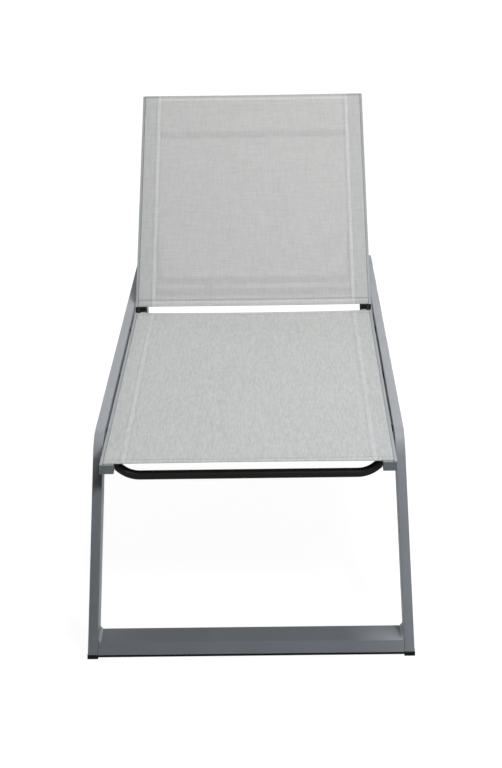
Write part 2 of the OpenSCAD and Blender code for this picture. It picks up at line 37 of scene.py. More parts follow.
# The photograph's view: its size and focal length in pixels, its camera's place, and the angles in radians
PHOTO_W, PHOTO_H = 502, 768
FOCAL_PX = 2250
SENSOR_MM = 36
CAMERA_AT = Vector((0.066416, -5.254737, 1.792996))
CAMERA_PITCH, CAMERA_YAW, CAMERA_ROLL = 0.281105, -0.0136708, -0.0164976

# The slings, in each sling's own frame: x across from the middle, y along from the sheet's first edge,
# z up from the outer lip of the rails
SEAT_LEN = 1216 * MM
SEAT_INSET = 4 * MM         # the seat sheet's first edge, from its rails' end
SEAT_EDGES_IN = (7 * MM, 4 * MM)   # how far the middle of its first and last edge curves in
BACK_LEN = 735 * MM
BACK_FROM_HINGE = 19 * MM   # the backrest sheet's first edge, from the hinge axis
BACK_SLOT_LEN = 730 * MM    # how far the backrest's keder pockets run; the sheet goes on over the top caps
BACK_EDGES_IN = (0, 0)
REST_ANGLE = math.radians(37)   # the backrest's slope at rest
CLOTH_T = 0.6 * MM          # thickness of one layer of mesh
CLOTH_TOP = 0.1 * MM        # how far the top layer stands over the lip
LAYER_GAP = 0.03 * MM       # between the top layer and the pocket's return
WARP_PITCH, WEFT_PITCH = 1.5 * MM, 1.9 * MM   # between yarns along the sheet, and between those across it
YARN_GROUP_W = 2.2 * MM     # yarns that share one tone
SAG = 2 * MM                # fall of the mesh in the middle, between the rails
EDGE_REACH = 200 * MM       # how far the pull of a free edge reaches into the sheet

# The rails and keders that hold them
RAIL_HALF_H = 10 * MM       # from the middle of a backrest rail to its outer lip
RAIL_INNER_X = 269 * MM     # inner face of the sling rails
KEDER_X = 289.7 * MM        # the keder's centre
KEDER_DROP = 5.1 * MM       # how far the keder's centre lies below the lip
KEDER_R = 2.2 * MM
KEDER_PLAY = 0.05 * MM      # between the keder and the cloth round it
LAYER_FROM_SLOT = 0.45 * MM   # from the slot's middle to the middle of either layer in it
LIP_BEND_R = 0.8 * MM       # bend of the top layer, down into the slot
RETURN_BEND_R = 0.42 * MM   # bend of the pocket's return, out of the slot
LOOP_OPEN_DEG = 12          # how far the loop round the keder stops short of either layer

# Their seams, hems and stitches
SEAM_IN, SEAM_OUT = 249 * MM, 257 * MM   # the sewn strip where the pocket's return ends
SEAM_RISE = 0.25 * MM
SEAM_STITCHES = (250.6 * MM, 255.4 * MM)   # the two rows of stitches that hold the strip
HEM_W = 20 * MM             # width of the doubled hem at each free end
HEM_FROM_SEAM = 1 * MM      # how far the hem's lower layer stays from the sewn strips
HEM_STITCH = 17 * MM        # the hem's row of stitches, from the free edge
GROOVE_HALF_W, GROOVE_DEPTH = 1.2 * MM, 0.16 * MM   # the dent along the hem's stitches
GROOVE_FROM_KEDER = 1 * MM  # how far the dent stays from the keder's centre
STITCH_PITCH, STITCH_LEN, STITCH_R = 4.2 * MM, 3.4 * MM, 0.3 * MM
SEAM_ROW_FROM_END = 3 * MM  # how far a seam's rows stay from the sheet's free edges
HEM_ROW_FROM_SEAM = 2 * MM  # how far a hem's row stays from the sewn strips
CREASE = (363 * MM, 0.335, 8 * MM)   # the backrest's faint fold: offset along the sheet, slope and half width
CREASE_FADE_X = 150 * MM    # where the fold starts to fade toward the seams
CREASE_DEPTH = 1.2 * MM

# The black strips under the floor bars, a painted shadow for the dark contact shadow beneath each bar:
# thickness, distance from the bar's sides, radius of the lower edges
STRIP_T, STRIP_IN, STRIP_R = 5 * MM, 0.5 * MM, 1.2 * MM
STRIP_STEPS = 24            # lengths that a strip is drawn in

# The crossbar clip: its bore's centre in the backrest sling's frame, its bore, wall and width, and its tongue
CLIP_X, CLIP_Y, CLIP_Z = -113 * MM, 68 * MM, -29.6 * MM
CLIP_R, CLIP_T, CLIP_W, CLIP_REACH = 9.6 * MM, 2.4 * MM, 22 * MM, 24 * MM
CLIP_OPENS_DEG = 300        # where the clip's mouth begins
CLIP_LIP_SHARE = 1.08       # how far out the mouth's lip stands, of the wall's middle radius
CLIP_CHAMFER = 0.4 * MM
CLIP_FLAT_SHARE = 0.46      # half the width between its chamfers, of its whole width

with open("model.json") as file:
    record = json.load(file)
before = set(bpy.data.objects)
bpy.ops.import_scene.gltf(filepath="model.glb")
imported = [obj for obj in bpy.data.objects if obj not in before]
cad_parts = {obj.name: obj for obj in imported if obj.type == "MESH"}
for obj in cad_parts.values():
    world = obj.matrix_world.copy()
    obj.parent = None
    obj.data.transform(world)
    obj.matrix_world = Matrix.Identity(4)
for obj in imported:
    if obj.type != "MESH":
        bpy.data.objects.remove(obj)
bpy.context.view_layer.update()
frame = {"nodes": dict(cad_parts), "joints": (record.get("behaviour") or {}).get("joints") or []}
nodes = frame["nodes"]
hinge = next(j for j in frame["joints"] if j["name"] == "backrest_recline")
seat_low, seat_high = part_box("seat_left_rail")
SEAT_FRAME = Matrix.Translation((0, seat_low.y + SEAT_INSET, seat_high.z))
BACK_FRAME = (
    Matrix.Translation(hinge["pos_m"])
    @ Matrix.Rotation(REST_ANGLE, 4, "X")
    @ Matrix.Translation((0, BACK_FROM_HINGE, RAIL_HALF_H))
)


# Camera

def make_camera():
    sin_y, cos_y = math.sin(CAMERA_YAW), math.cos(CAMERA_YAW)
    sin_p, cos_p = math.sin(CAMERA_PITCH), math.cos(CAMERA_PITCH)
    forward = Vector((sin_y * cos_p, cos_y * cos_p, -sin_p))
    level_right = Vector((cos_y, -sin_y, 0))
    level_up = level_right.cross(forward)
    right = math.cos(CAMERA_ROLL) * level_right + math.sin(CAMERA_ROLL) * level_up
    up = -math.sin(CAMERA_ROLL) * level_right + math.cos(CAMERA_ROLL) * level_up
    data = bpy.data.cameras.new("photo_camera")
    data.sensor_width = SENSOR_MM
    data.lens = SENSOR_MM * FOCAL_PX / max(PHOTO_W, PHOTO_H)
    camera = bpy.data.objects.new("photo_camera", data)
    turn = Matrix((right, up, -forward)).transposed().to_4x4()
    camera.matrix_world = Matrix.Translation(CAMERA_AT) @ turn
    bpy.context.scene.collection.objects.link(camera)
    bpy.context.scene.camera = camera


# Material helpers

def srgb(*values):
    """A colour from 0 to 255 display values, as the linear colour that a shader takes."""
    linear = [
        (v / 255) / 12.92 if v <= 10 else ((v / 255 + 0.055) / 1.055) ** 2.4
        for v in values
    ]
    return (*linear, 1)


def darker(colour, share):
    """A colour with only a share of its light."""
    return (*(c * share for c in colour[:3]), 1)


class Shader:
    """A material's node tree, with short calls for the nodes used here."""

    def __init__(self, name, **principled):
        self.material = bpy.data.materials.new(name)
        self.material.use_nodes = True
        self.tree = self.material.node_tree
        self.bsdf = self.tree.nodes["Principled BSDF"]
        for socket, value in principled.items():
            self.bsdf.inputs[socket.replace("_", " ")].default_value = value

    def node(self, kind, settings=(), **inputs):
        made = self.tree.nodes.new(kind)
        for key, value in dict(settings).items():
            setattr(made, key, value)
        for key, value in inputs.items():
            self.feed(made.inputs[key.replace("_", " ")], value)
        return made

    def feed(self, socket, value):
        if isinstance(value, bpy.types.NodeSocket):
            self.tree.links.new(value, socket)
        else:
            socket.default_value = value

    def math(self, operation, a, b=0.0):
        made = self.tree.nodes.new("ShaderNodeMath")
        made.operation = operation
        self.feed(made.inputs[0], a)
        self.feed(made.inputs[1], b)
        return made.outputs[0]

    def product(self, *factors):
        made = factors[0]
        for factor in factors[1:]:
            made = self.math("MULTIPLY", made, factor)
        return made

    def mix(self, share, a, b):
        made = self.tree.nodes.new("ShaderNodeMix")
        made.data_type = "RGBA"
        self.feed(made.inputs[0], share)
        self.feed(made.inputs[6], a)
        self.feed(made.inputs[7], b)
        return made.outputs[2]

    def ramp(self, value, low, high, out_low=0.0, out_high=1.0):
        made = self.node("ShaderNodeMapRange", {"clamp": True})
        for socket, number in zip(made.inputs, (value, low, high, out_low, out_high)):
            self.feed(socket, number)
        return made.outputs[0]

    def place(self, stretch=(1, 1, 1)):
        """Object coordinates, stretched."""
        at = self.node("ShaderNodeTexCoord").outputs["Object"]
        return self.node("ShaderNodeMapping", Vector=at, Scale=stretch).outputs[0]

    def noise(self, at, scale, detail, roughness=0.55):
        made = self.node("ShaderNodeTexNoise", Vector=at, Scale=scale, Detail=detail, Roughness=roughness)
        return made.outputs[0]

    def bump(self, height, distance, strength, under=None):
        made = self.node("ShaderNodeBump", Height=height, Distance=distance, Strength=strength)
        if under is not None:
            self.feed(made.inputs["Normal"], under)
        return made.outputs[0]

    def set(self, socket, value):
        self.feed(self.bsdf.inputs[socket], value)


def paint_material(name, pale, deep, roughness, specular):
    """Powder coat: fine orange peel, faint clouds of tone and uneven gloss."""
    m = Shader(name, Specular_IOR_Level=specular)
    at = m.place()
    clouds = m.ramp(m.noise(at, scale=7, detail=4), 0.3, 0.7)
    specks = m.ramp(m.noise(at, scale=2600, detail=2), 0.42, 0.62)
    speck_share = 0.16
    tone = m.mix(clouds, deep, pale)
    m.set("Base Color", m.mix(m.product(specks, speck_share), tone, pale))
    along_part = m.place((30, 6, 30))
    scuffs = m.ramp(m.noise(along_part, scale=3, detail=5, roughness=0.7), 0.45, 0.75)
    m.set("Roughness", m.ramp(scuffs, 0, 1, roughness - 0.03, roughness + 0.07))
    peel = m.bump(m.noise(at, scale=900, detail=2), distance=0.03 * MM, strength=0.6)
    waves = m.noise(at, scale=160, detail=2)
    m.set("Normal", m.bump(waves, distance=0.06 * MM, strength=0.4, under=peel))
    return m.material


def bare_metal_material(name, colour, roughness):
    """Turned metal with fine draw lines along the part."""
    m = Shader(name, Metallic=0.85)
    drawn = m.noise(m.place((700, 6, 700)), scale=1, detail=3, roughness=0.6)
    m.set("Base Color", m.mix(m.ramp(drawn, 0.35, 0.65), darker(colour, 0.86), colour))
    m.set("Roughness", m.ramp(drawn, 0.3, 0.7, roughness - 0.06, roughness + 0.1))
    m.set("Normal", m.bump(drawn, distance=0.02 * MM, strength=0.5))
    return m.material


def plastic_material(name, colour, roughness, specular=0.5):
    """Moulded plastic with a fine grain."""
    m = Shader(name, Specular_IOR_Level=specular)
    at = m.place()
    grain = m.noise(at, scale=1400, detail=2)
    patches = m.ramp(m.noise(at, scale=40, detail=3), 0.35, 0.65)
    m.set("Base Color", m.mix(patches, darker(colour, 0.88), colour))
    m.set("Roughness", m.ramp(grain, 0.3, 0.7, roughness - 0.05, roughness + 0.08))
    m.set("Normal", m.bump(grain, distance=0.04 * MM, strength=0.5))
    return m.material


def scaled(m, colour, factor):
    made = m.node("ShaderNodeVectorMath", {"operation": "SCALE"}, Scale=factor)
    m.feed(made.inputs[0], colour)
    return made.outputs[0]


def hem_painted_light(m, near, stops):
    """A factor on the cloth's tone near a free edge, from pairs of distance and factor: painted shade and
    highlight along the hem.
    """
    reach = stops[-1][0]
    made = m.node("ShaderNodeValToRGB", Fac=m.ramp(near, 0, reach))
    elements = made.color_ramp.elements
    while len(elements) < len(stops):
        elements.new(0.5)
    for element, (distance, factor) in zip(elements, stops):
        element.position = distance / reach
        element.color = (factor, factor, factor, 1)
    return made.outputs[0]


def yarn_tone(m, across, along, change, run):
    """A factor that differs from yarn to yarn, and along each yarn from one stretch to the next."""
    yarn = m.math("FLOOR", m.math("DIVIDE", across, YARN_GROUP_W))
    shift = m.node("ShaderNodeTexWhiteNoise", {"noise_dimensions": "1D"}, W=yarn).outputs["Value"]
    stretch = m.math("FLOOR", m.math("ADD", m.math("DIVIDE", along, run), shift))
    cell = m.node("ShaderNodeCombineXYZ", X=yarn, Y=stretch).outputs[0]
    value = m.node("ShaderNodeTexWhiteNoise", {"noise_dimensions": "2D"}, Vector=cell).outputs["Value"]
    return m.ramp(value, 0, 1, 1 - change, 1 + change)


def mesh_material(name, length, tones, see_through, streaks, hems, crease=None):
    """Coated yarn in a plain weave, a little open; doubled and shut in the pockets and hems.

    tones: the open cloth, the pockets over the rails (darker: painted shade for the light the doubled cloth
    holds back)
    and the sewn strips. streaks: for the yarns along the sheet and those across it, how strongly and over
    what length single yarns differ.
    hems: painted shade and highlight from the sheet's first edge and from its last one. crease: a straight
    fold's offset, slope and half width.
    """
    colour, pocket, seam = tones
    m = Shader(name, Sheen_Weight=0.06, Sheen_Roughness=0.5, Specular_IOR_Level=0.25)
    split = m.node("ShaderNodeSeparateXYZ", Vector=m.node("ShaderNodeTexCoord").outputs["Object"])
    x, y = split.outputs[0], split.outputs[1]
    warp_wave = m.math("SINE", m.product(x, math.pi / WARP_PITCH))
    weft_wave = m.math("SINE", m.product(y, math.pi / WEFT_PITCH))
    warp, weft = m.math("ABSOLUTE", warp_wave), m.math("ABSOLUTE", weft_wave)
    over = m.ramp(m.product(warp_wave, weft_wave), -0.5, 0.5)
    under_share = 0.55
    height = m.math(
        "MAXIMUM",
        m.product(m.math("SQRT", warp), m.ramp(over, 0, 1, under_share, 1)),
        m.product(m.math("SQRT", weft), m.ramp(over, 0, 1, 1, under_share)),
    )
    aside = m.math("ABSOLUTE", x)
    in_pocket = m.math("GREATER_THAN", aside, SEAM_OUT)
    past_seam_in = m.math("GREATER_THAN", aside, SEAM_IN)
    in_seam = m.product(past_seam_in, m.math("LESS_THAN", aside, SEAM_OUT))
    from_end = m.math("SUBTRACT", length, y)
    in_hem = m.math("LESS_THAN", m.math("MINIMUM", y, from_end), HEM_W)
    shut = m.math("MAXIMUM", past_seam_in, in_hem)

    # The pockets take a darker tone: painted shade for the light that the doubled cloth holds back
    tone = m.mix(in_seam, m.mix(in_pocket, colour, pocket), seam)
    (warp_change, warp_run), (weft_change, weft_run) = streaks
    patches = m.noise(m.place(), scale=5, detail=4, roughness=0.6)
    # A faint darker line runs beside each sewn strip: painted shade of the groove there
    seam_shade_x = SEAM_IN - 3.5 * MM
    from_seam_shade = m.math("ABSOLUTE", m.math("SUBTRACT", aside, seam_shade_x))
    shade = m.product(
        yarn_tone(m, x, y, warp_change, warp_run),
        yarn_tone(m, y, x, weft_change, weft_run),
        m.ramp(patches, 0.3, 0.7, 0.985, 1.0),
        # darker where the weave lies low: painted shade between the yarns
        m.ramp(height, 0.3, 0.9, 0.93, 1.0),
        m.ramp(from_seam_shade, 0.8 * MM, 3 * MM, 0.93, 1.0),
        # painted shade and highlight along the hems
        hem_painted_light(m, y, hems[0]),
        hem_painted_light(m, from_end, hems[1]),
    )
    m.set("Base Color", scaled(m, tone, shade))
    m.set("Roughness", m.ramp(height, 0.4, 1, 0.75, 0.55))
    weave = m.bump(height, distance=0.12 * MM, strength=0.55)
    if crease is not None:
        offset, slope, half_w = crease
        along = m.math("SUBTRACT", m.math("SUBTRACT", y, offset), m.product(x, slope))
        fade = m.ramp(aside, CREASE_FADE_X, SEAM_IN, 1, 0)
        ridge = m.ramp(m.math("ABSOLUTE", along), 0, half_w, 1, 0)
        weave = m.bump(m.product(fade, ridge), distance=CREASE_DEPTH, strength=0.8, under=weave)
    m.set("Normal", weave)
    open_share = m.product(m.math("SUBTRACT", 1.0, shut), see_through)
    m.set("Alpha", m.math("SUBTRACT", 1.0, open_share))
    return m.material


def thread_material(name, colour):
    """Twisted sewing thread."""
    m = Shader(name, Sheen_Weight=0.1, Specular_IOR_Level=0.3)
    twist = m.noise(m.place(), scale=2400, detail=2)
    m.set("Base Color", m.mix(m.ramp(twist, 0.3, 0.7), darker(colour, 0.85), colour))
    m.set("Roughness", m.ramp(twist, 0.3, 0.7, 0.5, 0.7))
    m.set("Normal", m.bump(twist, distance=0.05 * MM, strength=0.6))
    return m.material


# Mesh helpers

def add_object(name, verts, faces, material, matrix, body, smooth=True):
    data = bpy.data.meshes.new(name)
    data.from_pydata(verts, [], faces)
    data.materials.append(material)
    data.polygons.foreach_set("use_smooth", [smooth] * len(data.polygons))
    data.update()
    obj = bpy.data.objects.new(name, data)
    obj.matrix_world = matrix
    bpy.context.scene.collection.objects.link(obj)
    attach(obj, body)
    return obj


def arc_points(cx, cz, r, from_deg, to_deg, steps):
    turns = [math.radians(from_deg + (to_deg - from_deg) * i / steps) for i in range(steps + 1)]
    return [(cx + r * math.cos(a), cz + r * math.sin(a)) for a in turns]


def prism_faces(count, steps):
    """Faces of a closed solid made of steps + 1 rings, with count points in each."""
    faces = [
        (i * count + j, i * count + (j + 1) % count, (i + 1) * count + (j + 1) % count, (i + 1) * count + j)
        for i in range(steps) for j in range(count)
    ]
    return faces + [tuple(range(count))[::-1], tuple(range(steps * count, (steps + 1) * count))]


def sheet_section():
    """Centre line of the cloth across the right half: over the rail, down the slot, round the keder, back."""
    top_z = CLOTH_TOP - CLOTH_T / 2
    back_z = top_z - CLOTH_T - LAYER_GAP
    wrap_r = KEDER_R + CLOTH_T / 2 + KEDER_PLAY
    out_x = KEDER_X + LAYER_FROM_SLOT
    in_x = KEDER_X - LAYER_FROM_SLOT
    # Places across the top, in millimetres: the open cloth, the sewn strip and the pocket
    inner = [0, 20, 40, 60, 80, 100, 120, 140, 160, 180, 200, 215, 230, 240, 246]
    seam = [248.6, 249, 250.5, 252, 253, 254, 255.5, 257, 257.4]
    outer = [260, 264, 267, 269, 272, 276, 281, 286]
    top = [(x * MM, top_z) for x in inner + seam + outer]
    top += arc_points(out_x - LIP_BEND_R, top_z - LIP_BEND_R, LIP_BEND_R, 90, 0, steps=5)
    loop_top = math.degrees(math.asin(LAYER_FROM_SLOT / wrap_r))
    loop_from, loop_to = 90 - loop_top - LOOP_OPEN_DEG, loop_top + LOOP_OPEN_DEG - 270
    loop = arc_points(KEDER_X, -KEDER_DROP, wrap_r, loop_from, loop_to, steps=22)
    back = arc_points(in_x - RETURN_BEND_R, back_z - RETURN_BEND_R, RETURN_BEND_R, 0, 90, steps=4)
    back += [(x * MM, back_z) for x in (286, 281, 276, 272, 269, 264, 260, 256, 252, 249.6)]
    return top, loop, back


def section_normals(points):
    """A unit normal at each point of the section, from its two neighbours."""
    normals = []
    for i in range(len(points)):
        x0, z0 = points[max(i - 1, 0)]
        x1, z1 = points[min(i + 1, len(points) - 1)]
        run = math.hypot(x1 - x0, z1 - z0)
        normals.append((-(z1 - z0) / run, (x1 - x0) / run))
    return normals


def pulled(x, y, length, edge_in):
    """How far a point of the stretched sheet moves along and up: its free edges curve in, and it sags."""
    share = min(abs(x) / RAIL_INNER_X, 1)
    bow = 1 - share * share
    near_start = max(0, 1 - y / EDGE_REACH)
    near_end = max(0, 1 - (length - y) / EDGE_REACH)
    along = bow * (edge_in[0] * near_start ** 2 - edge_in[1] * near_end ** 2)
    up = -SAG * bow * (1 - 0.5 * (near_start + near_end))
    return along, up


def stations_along(length):
    """Places along a sheet: close together round the hems, and even between them."""
    ends_mm = [0, 1, 3, 5, 8, 12, 15.2, 16.2, 17, 17.8, 18.8, 19.9, 20.1, 22, 26, 34, 50]
    length_mm = length / MM
    first_mm = ends_mm[-1]
    steps = 40
    inside_mm = [first_mm + (length_mm - 2 * first_mm) * (i + 1) / (steps + 1) for i in range(steps)]
    far_mm = [length_mm - end for end in reversed(ends_mm)]
    return [place * MM for place in ends_mm + inside_mm + far_mm]


def lengthwise_ring(x, is_top, length):
    """Outline of the cloth, cut along its length at x: places along it, and heights off its middle."""
    on_seam = is_top and SEAM_IN <= abs(x) <= SEAM_OUT
    grooved = is_top and abs(x) < KEDER_X - GROOVE_FROM_KEDER
    high = CLOTH_T / 2 + (SEAM_RISE if on_seam else 0)

    def depth(y):
        """From the middle of the outer layer to the cloth's inner face, which lies deeper in a hem."""
        doubled = is_top and abs(x) < SEAM_IN - HEM_FROM_SEAM and min(y, length - y) < HEM_W
        return CLOTH_T / 2 + (CLOTH_T if doubled else 0)

    def groove(y):
        share = max(0, 1 - abs(min(y, length - y) - HEM_STITCH) / GROOVE_HALF_W)
        return -GROOVE_DEPTH * share if grooved else 0

    def off_ends(y):
        """The place y, kept clear of the rounds at both ends."""
        round_r = (high + depth(y)) / 2
        return min(max(y, round_r), length - round_r)

    r, middle = (high + depth(0)) / 2, (high - depth(0)) / 2
    round_points = 3
    turns = [math.pi * i / (round_points + 1) for i in range(1, round_points + 1)]
    stations = stations_along(length)
    ring = [(off_ends(y), high + groove(y)) for y in stations]
    ring += [(length - r + r * math.sin(a), middle + r * math.cos(a)) for a in turns]
    ring += [(off_ends(y), -depth(y)) for y in reversed(stations)]
    ring += [(r - r * math.sin(a), middle - r * math.cos(a)) for a in turns]
    return ring


def sling(name, length, slot_len, edge_in, matrix, body, node, material):
    """One sling as a closed thin sheet: its top, its turned hems at both ends and its keder pockets."""
    top, loop, back = sheet_section()
    half = top + loop + back
    points = [(-x, z) for x, z in reversed(half[1:])] + half
    middle = len(half) - 1
    verts, rows, faces = [], [], []
    for k, ((x, z), (nx, nz)) in enumerate(zip(points, section_normals(points))):
        is_top = abs(k - middle) < len(top)
        row = []
        for y, off in lengthwise_ring(x, is_top, length):
            if not is_top:
                y *= slot_len / length
            along, up = pulled(x, y, length, edge_in)
            row.append(len(verts))
            verts.append((x + nx * off, y + along, z + nz * off + up))
        rows.append(row)
    count = len(rows[0])
    for a, b in zip(rows, rows[1:]):
        for i in range(count):
            j = (i + 1) % count
            faces.append((a[i], b[i], b[j], a[j]))
    faces.append(tuple(rows[0]))
    faces.append(tuple(rows[-1][::-1]))
    obj = add_object(name, verts, faces, material, matrix, body)
    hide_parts(node)
    return obj


def stitching(name, length, edge_in, matrix, body, material):
    """The sewing thread on a sling's face: two rows along each seam strip and one row across each hem."""
    # A stitch's rings: place along it, height of the middle and thickness, as shares of its length and radius
    rings = ((0, -0.9, 0.55), (0.14, 0.1, 0.9), (0.5, 0.35, 1), (0.86, 0.1, 0.9), (1, -0.9, 0.55))
    sides = 5
    verts, faces = [], []

    def stitch(start, step, height):
        first = len(verts)
        for share, lift, thick in rings:
            x, y = (s + share * STITCH_LEN * d for s, d in zip(start, step))
            along, up = pulled(x, y, length, edge_in)
            for i in range(sides):
                a = 2 * math.pi * i / sides
                side = STITCH_R * thick * math.cos(a)
                rise = STITCH_R * (lift + thick * math.sin(a))
                verts.append((x + side * step[1], y + along + side * step[0], height + up + rise))
        for ring in range(len(rings) - 1):
            for i in range(sides):
                j = (i + 1) % sides
                low, high = first + ring * sides, first + (ring + 1) * sides
                quad = (low + i, low + j, high + j, high + i)
                faces.append(quad if step[0] else quad[::-1])
        near = tuple(range(first, first + sides))
        far = tuple(range(len(verts) - sides, len(verts)))
        faces.append(near[::-1] if step[0] else near)
        faces.append(far if step[0] else far[::-1])

    for x in SEAM_STITCHES:
        for i in range(int((length - 2 * SEAM_ROW_FROM_END) / STITCH_PITCH)):
            y = SEAM_ROW_FROM_END + i * STITCH_PITCH
            stitch((-x, y), (0, 1), CLOTH_TOP + SEAM_RISE)
            stitch((x, y), (0, 1), CLOTH_TOP + SEAM_RISE)
    across = 2 * (SEAM_IN - HEM_ROW_FROM_SEAM)
    for y in (HEM_STITCH, length - HEM_STITCH):
        for i in range(int(across / STITCH_PITCH)):
            stitch((-across / 2 + i * STITCH_PITCH, y), (1, 0), CLOTH_TOP - GROOVE_DEPTH)
    return add_object(name, verts, faces, material, matrix, body)


# Lights and floor

def area_light(name, at, look_at, size, power, colour=(1, 1, 1)):
    data = bpy.data.lights.new(name, "AREA")
    data.shape, data.size, data.energy, data.color = "DISK", size, power, colour
    lamp = bpy.data.objects.new(name, data)
    lamp.location = at
    lamp.rotation_euler = (Vector(look_at) - Vector(at)).to_track_quat("-Z", "Y").to_euler()
    bpy.context.scene.collection.objects.link(lamp)


def make_world():
    """White to the camera and to reflected or refracted rays, and a faint even light to all others."""
    world = bpy.data.worlds.new("studio")
    bpy.context.scene.world = world
    world.use_nodes = True
    tree = world.node_tree
    shown = tree.nodes["Background"]
    shown.inputs[0].default_value = (1, 1, 1, 1)
    shown.inputs[1].default_value = 1.0
    lit = tree.nodes.new("ShaderNodeBackground")
    lit.inputs[0].default_value = (0.95, 0.97, 1, 1)
    lit.inputs[1].default_value = 0.03
    seen = tree.nodes.new("ShaderNodeMath")
    seen.operation = "MAXIMUM"
    passed = tree.nodes.new("ShaderNodeMath")
    passed.operation = "MAXIMUM"
    path = tree.nodes.new("ShaderNodeLightPath")
    tree.links.new(path.outputs["Is Glossy Ray"], passed.inputs[0])
    tree.links.new(path.outputs["Is Transmission Ray"], passed.inputs[1])
    tree.links.new(path.outputs["Is Camera Ray"], seen.inputs[0])
    tree.links.new(passed.outputs[0], seen.inputs[1])
    blend = tree.nodes.new("ShaderNodeMixShader")
    tree.links.new(seen.outputs[0], blend.inputs[0])
    tree.links.new(lit.outputs[0], blend.inputs[1])
    tree.links.new(shown.outputs[0], blend.inputs[2])
    tree.links.new(blend.outputs[0], tree.nodes["World Output"].inputs[0])


def make_floor():
    """A floor that looks white: it glows, and a little less near the object, where its shadow falls."""
    half = 30
    near_reach, far_reach = 1.4, 3.5
    near_glow, far_glow = 0.95, 1.0
    data = bpy.data.meshes.new("floor")
    corners = [(-half, -half, 0), (half, -half, 0), (half, half, 0), (-half, half, 0)]
    data.from_pydata(corners, [], [(0, 1, 2, 3)])
    floor = bpy.data.objects.new("floor", data)
    bpy.context.scene.collection.objects.link(floor)
    m = Shader("studio_floor", Roughness=0.9, Specular_IOR_Level=0.1)
    m.set("Base Color", (0.16, 0.16, 0.16, 1))
    path = m.node("ShaderNodeLightPath")
    passed = m.math("MAXIMUM", path.outputs["Is Glossy Ray"], path.outputs["Is Transmission Ray"])
    seen = m.math("MAXIMUM", path.outputs["Is Camera Ray"], passed)
    away = m.node("ShaderNodeVectorMath", {"operation": "LENGTH"}, Vector=m.place()).outputs["Value"]
    m.set("Emission Color", (1, 1, 1, 1))
    m.set("Emission Strength", m.product(seen, m.ramp(away, near_reach, far_reach, near_glow, far_glow)))
    data.materials.append(m.material)


bpy.context.scene.view_settings.view_transform = "Standard"
make_camera()
make_world()
make_floor()
area_light("overhead", (0.55, -0.2, 3.2), (0, 0, 0.3), size=1.2, power=79)
area_light("front_right", (0.85, -2.8, 1.95), (0, -0.8, 0.3), size=0.4, power=30, colour=(0.88, 0.93, 1))
area_light("rear", (-2.3, 3.3, 0.8), (0, 0.8, 0.3), size=1.0, power=20)
area_light("rear_fill", (1.4, 3.6, 0.7), (0, 0.6, 0.5), size=1.0, power=14)
area_light("left_side", (-3.4, 0.3, 0.5), (0, 0, 0.3), size=1.0, power=12)
area_light("right_side", (3.4, 0.3, 0.5), (0, 0, 0.3), size=1.0, power=12)

# Finishes of the CAD parts

PAINT = paint_material(
    "frame_paint", pale=srgb(150, 153, 157), deep=srgb(143, 146, 150), roughness=0.45, specular=0.14,
)
RAIL = paint_material(
    "rail_metal", pale=srgb(152, 156, 159), deep=srgb(146, 150, 153), roughness=0.45, specular=0.17,
)
DARK = paint_material(
    "dark_metal", pale=srgb(36, 36, 31), deep=srgb(29, 29, 25), roughness=0.42, specular=0.11,
)
STEEL = bare_metal_material("steel_fastener", srgb(196, 199, 203), roughness=0.32)
BLACK = plastic_material("black_plastic", srgb(22, 22, 23), roughness=0.6, specular=0.12)
GREY = plastic_material("grey_plastic", srgb(124, 129, 131), roughness=0.5)
CORD = plastic_material("keder_cord", srgb(200, 200, 198), roughness=0.6)
FINISHES = {
    "frame_paint": PAINT, "rail_metal": RAIL, "dark_metal": DARK, "steel_fastener": STEEL,
    "black_plastic": BLACK, "grey_plastic": GREY, "keder_cord": CORD,
}
# The photograph shows the hinges' fixed tongues as light as the rails, and the backrest's lugs black
NODE_FINISHES = {
    "left_hinge_tongue": RAIL, "right_hinge_tongue": RAIL,
    "left_hinge_lug": BLACK, "right_hinge_lug": BLACK,
}
# Width of the rounding on each material's edges, in millimetres
EDGE_ROUND_MM = {
    "frame_paint": 1.4, "rail_metal": 0.35, "dark_metal": 0.5, "steel_fastener": 0.3,
    "black_plastic": 0.3, "grey_plastic": 0.5, "keder_cord": 0.2,
}
SHARP_FROM_DEG = 40     # an edge that turns more than this is rounded
WELD_MM = 0.002         # points closer than this are joined first


def finish_cad_parts():
    """Gives every CAD part its finish by its material's name, and its edges their small real rounding."""
    for obj in nodes.values():
        for spot in obj.material_slots:
            kind = spot.material.name.split(".")[0]
            if kind not in FINISHES:
                continue
            spot.material = NODE_FINISHES.get(obj.name, FINISHES[kind])
            weld = obj.modifiers.new("weld", "WELD")
            weld.merge_threshold = WELD_MM * MM
            bevel = obj.modifiers.new("edges", "BEVEL")
            bevel.width = EDGE_ROUND_MM[kind] * MM
            bevel.segments = 2
            bevel.limit_method = "ANGLE"
            bevel.angle_limit = math.radians(SHARP_FROM_DEG)
            bevel.use_clamp_overlap = True
            even = obj.modifiers.new("even", "WEIGHTED_NORMAL")
            even.keep_sharp = False


finish_cad_parts()


# Black strips under the floor bars as painted contact shadow, and the crossbar clip

def bar_shadow_strip(name, bar):
    """A black strip under a floor bar, a little off the floor, with rounded lower edges: a painted shadow
    where the bar's contact shadow falls.
    """
    low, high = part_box(bar)
    arc_z = low.z - STRIP_T + STRIP_R
    outline = arc_points(low.y + STRIP_IN + STRIP_R, arc_z, STRIP_R, 180, 270, steps=4)
    outline += arc_points(high.y - STRIP_IN - STRIP_R, arc_z, STRIP_R, 270, 360, steps=4)
    outline += [(high.y - STRIP_IN, low.z), (low.y + STRIP_IN, low.z)]
    verts = [
        (low.x + (high.x - low.x) * i / STRIP_STEPS, y, z) for i in range(STRIP_STEPS + 1) for y, z in outline
    ]
    faces = prism_faces(len(outline), STRIP_STEPS)
    add_object(name, verts, faces, BLACK, Matrix(), "frame", smooth=False)


